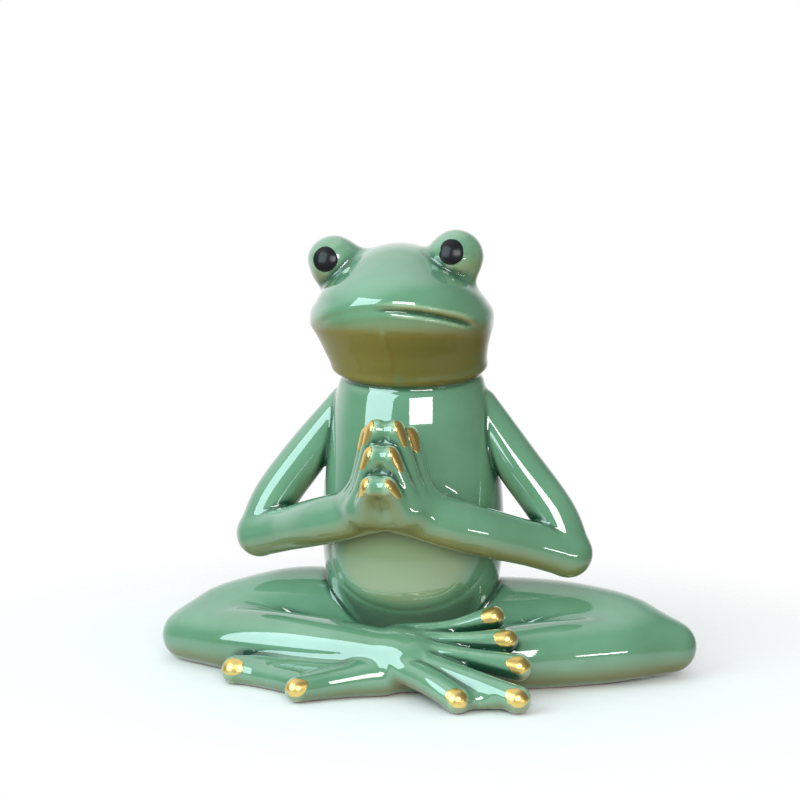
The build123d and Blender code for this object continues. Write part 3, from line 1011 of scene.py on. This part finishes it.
def seen_directly(tree):
    """Whether a ray comes straight from the camera, or by way of a mirror or through glass."""
    ray = tree.nodes.new("ShaderNodeLightPath").outputs
    return greatest(tree, ray["Is Camera Ray"], (ray["Is Glossy Ray"], ray["Is Transmission Ray"]))


def smooth_steps(tree, value, low, high, to_low, to_high):
    """A soft run from one strength to another as the value goes from low to high."""
    node = tree.nodes.new("ShaderNodeMapRange")
    node.interpolation_type = "SMOOTHSTEP"
    for key, number in zip(("From Min", "From Max", "To Min", "To Max"), (low, high, to_low, to_high)):
        node.inputs[key].default_value = number
    tree.links.new(value, node.inputs["Value"])
    return node.outputs["Result"]


def ray_strength(tree, way, room):
    """White to the camera; to a mirror, white behind the frog and overhead, and the room's tone in front."""
    parts = []
    for side, low, high in (((-0.5, 0.87, 0), 0.3, 0.9), ((-0.45, 0.2, 0.87), 0.5, 0.95)):
        toward = tree.nodes.new("ShaderNodeVectorMath")
        toward.operation = "DOT_PRODUCT"
        toward.inputs[1].default_value = side
        tree.links.new(way, toward.inputs[0])
        parts.append(smooth_steps(tree, toward.outputs["Value"], low, high, room, 1))
    camera_ray = tree.nodes.new("ShaderNodeLightPath").outputs["Is Camera Ray"]
    return greatest(tree, camera_ray, parts)


def set_camera(scene, stage):
    camera = bpy.data.cameras.new("photo_camera")
    camera.lens, camera.sensor_width = 85, 36
    camera.clip_start = 0.02
    viewer = bpy.data.objects.new("photo_camera", camera)
    back = direction(stage.azimuth, stage.elevation)
    viewer.location = Vector(stage.aim) + back * stage.distance
    viewer.rotation_euler = back.to_track_quat("Z", "Y").to_euler()
    scene.collection.objects.link(viewer)
    scene.camera = viewer


def paper_material(stage):
    """Pale paper that fades out away from the frog and throws warm light back up."""
    paper = bpy.data.materials.new("pale_paper")
    nodes = Nodes(paper)
    grain = nodes.noise(scale=300, detail=3)
    darker = [value * 0.98 for value in stage.floor_tone]
    tone = nodes.mix(nodes.remap(grain, 0.3, 0.7), stage.floor_tone, darker)
    nodes.shader.inputs["Roughness"].default_value = 0.7
    reach = nodes.add("ShaderNodeVectorMath", operation="LENGTH")
    nodes.link(nodes.add("ShaderNodeTexCoord").outputs["Object"], reach.inputs[0])
    clear = nodes.add("ShaderNodeBsdfTransparent")
    fade = nodes.add("ShaderNodeMixShader")
    seen = seen_directly(nodes.tree)
    bounce = nodes.mix(seen, stage.floor_bounce, tone)
    nodes.link(bounce, nodes.shader.inputs["Base Color"])
    nodes.link(nodes.times(nodes.remap(reach.outputs["Value"], 0.06, 0.16), seen), fade.inputs[0])
    nodes.link(nodes.shader.outputs[0], fade.inputs[1])
    nodes.link(clear.outputs[0], fade.inputs[2])
    nodes.link(fade.outputs[0], nodes.tree.nodes["Material Output"].inputs["Surface"])
    return paper


def lay_floor(scene, stage):
    mesh = bpy.data.meshes.new("paper_floor")
    far = FLOOR_REACH
    mesh.from_pydata([(-far, -far, 0), (far, -far, 0), (far, far, 0), (-far, far, 0)], [], [(0, 1, 2, 3)])
    floor = bpy.data.objects.new("paper_floor", mesh)
    scene.collection.objects.link(floor)
    mesh.materials.append(paper_material(stage))


def set_world(scene, stage):
    """Light from overhead for the frog; white for the camera and for what the glaze mirrors."""
    world = bpy.data.worlds.new("studio")
    world.use_nodes = True
    scene.world = world
    tree = world.node_tree
    plain = tree.nodes["Background"]
    plain.inputs["Color"].default_value = (0.90, 0.97, 1, 1)
    way = tree.nodes.new("ShaderNodeTexCoord").outputs["Generated"]
    height = tree.nodes.new("ShaderNodeSeparateXYZ")
    tree.links.new(way, height.inputs[0])
    sky = smooth_steps(tree, height.outputs["Z"], 0.25, 0.9, 0.08, stage.sky_strength)
    tree.links.new(sky, plain.inputs["Strength"])
    white = tree.nodes.new("ShaderNodeBackground")
    white.inputs["Color"].default_value = (1, 1, 1, 1)
    tree.links.new(ray_strength(tree, way, stage.room_strength), white.inputs["Strength"])
    choose = tree.nodes.new("ShaderNodeMixShader")
    tree.links.new(seen_directly(tree), choose.inputs[0])
    tree.links.new(plain.outputs[0], choose.inputs[1])
    tree.links.new(white.outputs[0], choose.inputs[2])
    tree.links.new(choose.outputs[0], tree.nodes["World Output"].inputs["Surface"])


def hang_lamps(stage):
    soft_box("key_soft_box", around(18, 20.5, 0.85), CHEST, (0.44, 0.33), stage.key_power, (1, 0.99, 0.97))
    soft_box("window", around(-38, 23, 0.85), CHEST, (0.56, 0.64), stage.window_power, (0.7, 0.93, 1))
    place, shin = (0.226, -0.19, 0.02), (0.055, -0.012, 0.009)
    soft_box("side_strip", place, shin, (0.07, 0.015), stage.strip_power, (1, 1, 1))


class FROG_OT_stage(bpy.types.Operator):
    """Sets the camera, the pale floor and the studio light"""

    bl_idname = "frog.stage"
    bl_label = "Stage"

    def execute(self, context):
        scene = context.scene
        stage = scene.frog_stage
        scene.view_settings.view_transform = "Standard"
        set_camera(scene, stage)
        lay_floor(scene, stage)
        set_world(scene, stage)
        hang_lamps(stage)
        return {"FINISHED"}


class FROG_PT_panel(bpy.types.Panel):
    """Lists the frog's pieces and settings"""

    bl_idname = "FROG_PT_panel"
    bl_label = "Frog"
    bl_space_type = "VIEW_3D"
    bl_region_type = "UI"
    bl_category = "Frog"

    def draw(self, context):
        layout = self.layout
        for operator in OPERATORS:
            layout.operator(operator.bl_idname)
        for group in (context.scene.frog_shape, context.scene.frog_finish, context.scene.frog_stage):
            box = layout.box()
            for key in group.__annotations__:
                box.prop(group, key)


OPERATORS = (FROG_OT_castings, FROG_OT_pupils, FROG_OT_toe_gold, FROG_OT_finger_gold, FROG_OT_stage)
CLASSES = (FrogFinish, FrogShape, FrogStage, *OPERATORS, FROG_PT_panel)


def register():
    for item in CLASSES:
        bpy.utils.register_class(item)
    bpy.types.Scene.frog_finish = PointerProperty(type=FrogFinish)
    bpy.types.Scene.frog_shape = PointerProperty(type=FrogShape)
    bpy.types.Scene.frog_stage = PointerProperty(type=FrogStage)


def unregister():
    del bpy.types.Scene.frog_stage
    del bpy.types.Scene.frog_shape
    del bpy.types.Scene.frog_finish
    for item in reversed(CLASSES):
        bpy.utils.unregister_class(item)


def main():
    register()
    bpy.ops.frog.castings()
    bpy.ops.frog.pupils()
    bpy.ops.frog.toe_gold()
    bpy.ops.frog.finger_gold()
    bpy.ops.frog.stage()


if __name__ == "__main__":
    main()
